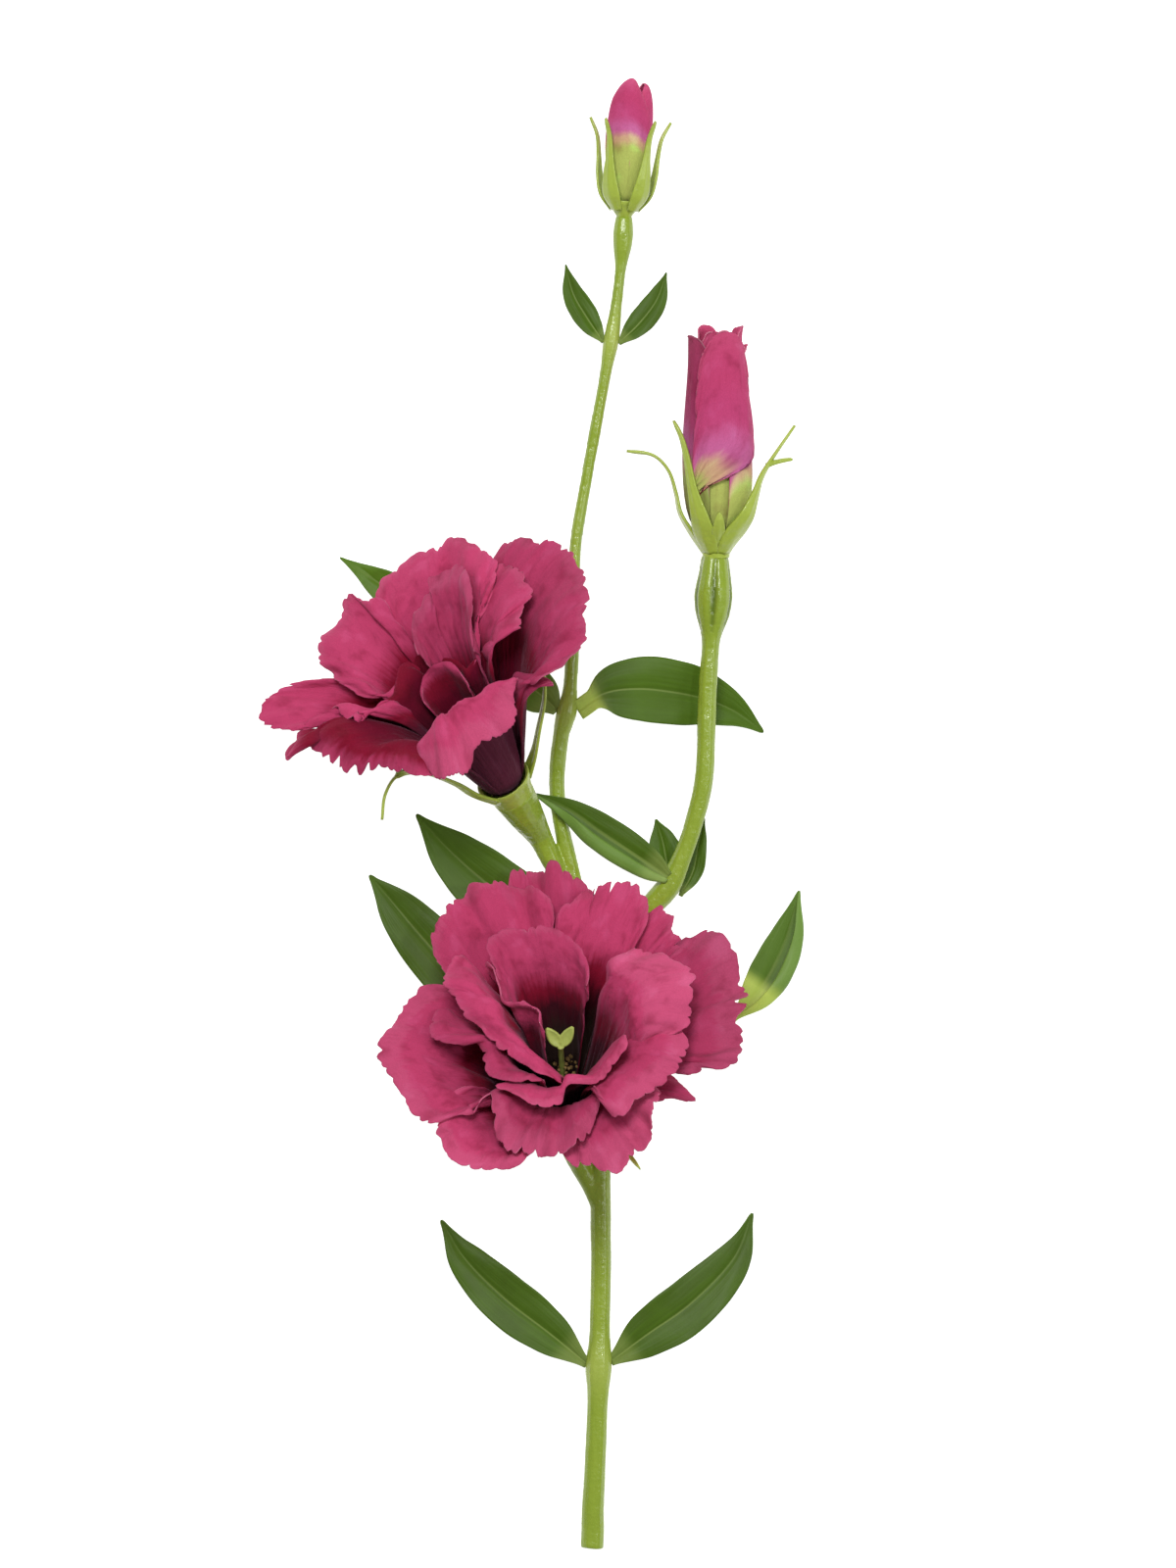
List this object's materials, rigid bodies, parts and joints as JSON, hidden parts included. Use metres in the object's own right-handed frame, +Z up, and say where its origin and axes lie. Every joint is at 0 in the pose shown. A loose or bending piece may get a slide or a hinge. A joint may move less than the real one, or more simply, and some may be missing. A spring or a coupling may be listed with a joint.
{
  "type": "cut lisianthus",
  "caption": "Cut spray of double lisianthus lying on its side: ruffled open blooms, a half-open bud and a closed bud on a branched stem with pointed leaves.",
  "frame": {"origin": "middle of the spray's bounding box, on the surface that it lies on", "axes": "+Y runs up the stem to the closed bud, +Z up from the surface, +X to the right as the spray is looked down on"},
  "size_m": [0.1082, 0.2986, 0.0525],
  "materials": {
    "stem": "moulded yellow-green plastic, half gloss, faint ribs and a parting line",
    "leaf": "moulded dark green leaf, satin, pale green underside and raised midrib",
    "calyx": "moulded light green plastic, half gloss",
    "corolla": "fine woven dyed cloth, deep pink with purple-black throats, frayed and ruffled edges",
    "bud": "fine woven dyed cloth, pink fading to yellow-green at the foot",
    "pistil": "soft moulded plastic, pale green lobes and brown anthers"
  },
  "bodies": {
    "root": {"stem": "stem", "leaf_upper_left": "leaf", "leaf_upper_right": "leaf", "leaf_bud_left": "leaf", "leaf_bud_back": "leaf", "leaf_bud_right": "leaf", "leaf_middle_left": "leaf", "leaf_inner_left": "leaf", "leaf_middle_right": "leaf", "leaf_base_left": "leaf", "leaf_base_right": "leaf", "leaf_top_left": "leaf", "leaf_top_right": "leaf", "calyx_left": "calyx", "calyx_lower": "calyx", "calyx_bud": "calyx", "calyx_top": "calyx", "corolla_left": "corolla", "corolla_lower": "corolla", "bud_side": "bud", "bud_top": "bud", "pistil_lower": "pistil"}
  },
  "joints": []
}
